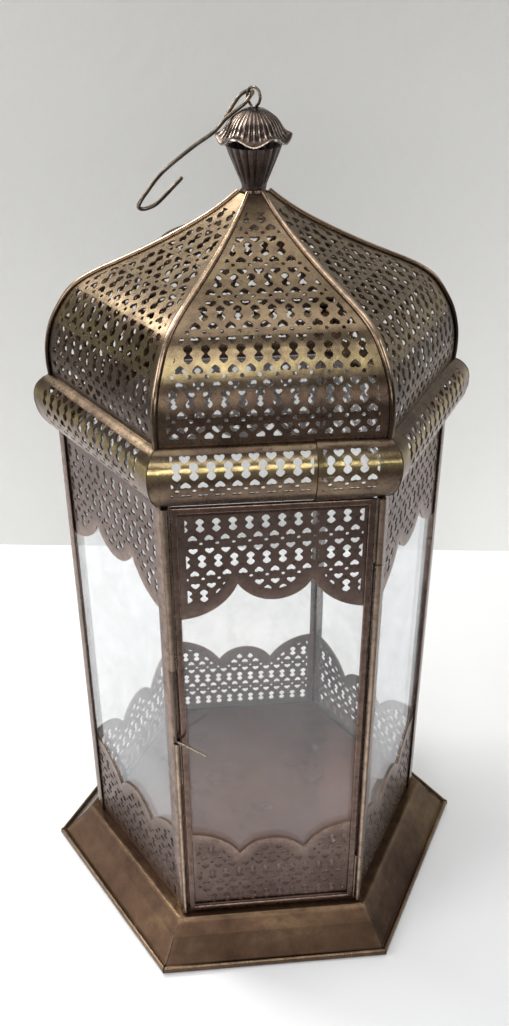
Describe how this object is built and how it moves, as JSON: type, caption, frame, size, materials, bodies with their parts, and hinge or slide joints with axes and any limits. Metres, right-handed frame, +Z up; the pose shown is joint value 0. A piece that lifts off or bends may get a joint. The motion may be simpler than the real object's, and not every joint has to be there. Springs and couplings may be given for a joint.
{
  "type": "lantern",
  "caption": "Hexagonal pierced-metal candle lantern with glass panes, side-hinged door, ribbed dome roof, flower finial and hanging hook.",
  "frame": {"origin": "centre of the underside, on the surface the lantern stands on", "axes": "+Z up, the door faces -Y and is hinged at its +X side"},
  "size_m": [0.281, 0.2434, 0.499],
  "materials": {
    "tray_metal": "antiqued golden brown lacquered sheet, satin",
    "dark_bronze": "dark antique bronze, satin",
    "pierced_sheet": "dark antique bronze pierced sheet, satin",
    "pierced_brass": "antique olive brass pierced sheet, semi-gloss",
    "worn_edge": "bronze rubbed bright along its crest",
    "wire": "aged brass wire, semi-gloss",
    "clear_glass": "clear window glass, slightly hazy"
  },
  "bodies": {
    "lantern_body": {"band_segment_back": "pierced_brass", "band_segment_back_left": "pierced_brass", "band_segment_back_right": "pierced_brass", "band_segment_front": "pierced_brass", "band_segment_front_left": "pierced_brass", "band_segment_front_right": "pierced_brass", "base_skirt": "tray_metal", "bottom_strip_back": "pierced_sheet", "bottom_strip_back_left": "pierced_sheet", "bottom_strip_back_right": "pierced_sheet", "bottom_strip_front_left": "pierced_sheet", "bottom_strip_front_right": "pierced_sheet", "corner_post_back_left": "dark_bronze", "corner_post_back_right": "dark_bronze", "corner_post_front_left": "dark_bronze", "corner_post_front_right": "dark_bronze", "corner_post_left": "dark_bronze", "corner_post_right": "dark_bronze", "finial_cup": "dark_bronze", "finial_flower": "dark_bronze", "floor_plate": "tray_metal", "glass_pane_back": "clear_glass", "glass_pane_back_left": "clear_glass", "glass_pane_back_right": "clear_glass", "glass_pane_front_left": "clear_glass", "glass_pane_front_right": "clear_glass", "hanging_loop": "wire", "hinge_pin": "wire", "hinge_sleeve": "worn_edge", "latch_tube_post": "worn_edge", "roof_crown": "dark_bronze", "roof_panel_back": "pierced_brass", "roof_panel_back_left": "pierced_brass", "roof_panel_back_right": "pierced_brass", "roof_panel_front": "pierced_brass", "roof_panel_front_left": "pierced_brass", "roof_panel_front_right": "pierced_brass", "roof_rib_back_left": "worn_edge", "roof_rib_back_right": "worn_edge", "roof_rib_front_left": "worn_edge", "roof_rib_front_right": "worn_edge", "roof_rib_left": "worn_edge", "roof_rib_right": "worn_edge", "top_ring": "dark_bronze", "top_strip_back": "pierced_sheet", "top_strip_back_left": "pierced_sheet", "top_strip_back_right": "pierced_sheet", "top_strip_front_left": "pierced_sheet", "top_strip_front_right": "pierced_sheet"},
    "door": {"door_bottom_strip": "pierced_sheet", "door_frame": "dark_bronze", "door_glass": "clear_glass", "door_top_strip": "pierced_sheet", "hinge_knuckle_lower": "worn_edge", "hinge_knuckle_upper": "worn_edge", "latch_tube_short": "worn_edge", "latch_tube_upper": "worn_edge"},
    "latch_bolt": {"latch_bolt": "wire"},
    "hook": {"hook": "wire"}
  },
  "joints": [
    {"name": "door_swing", "type": "hinge", "parent": "lantern_body", "child": "door", "pos_m": [0.0546, -0.0982, 0.17], "axis": [0, 0, 1], "range_deg": [0, 160]},
    {"name": "latch_slide", "type": "slide", "parent": "door", "child": "latch_bolt", "axis": [0, 0, 1], "range_m": [0, 0.048]},
    {"name": "hook_swing", "type": "hinge", "parent": "lantern_body", "child": "hook", "pos_m": [-0.00281, 0.00401, 0.493], "axis": [-0.5736, 0.8192, 0], "range_deg": [0, 70]}
  ]
}
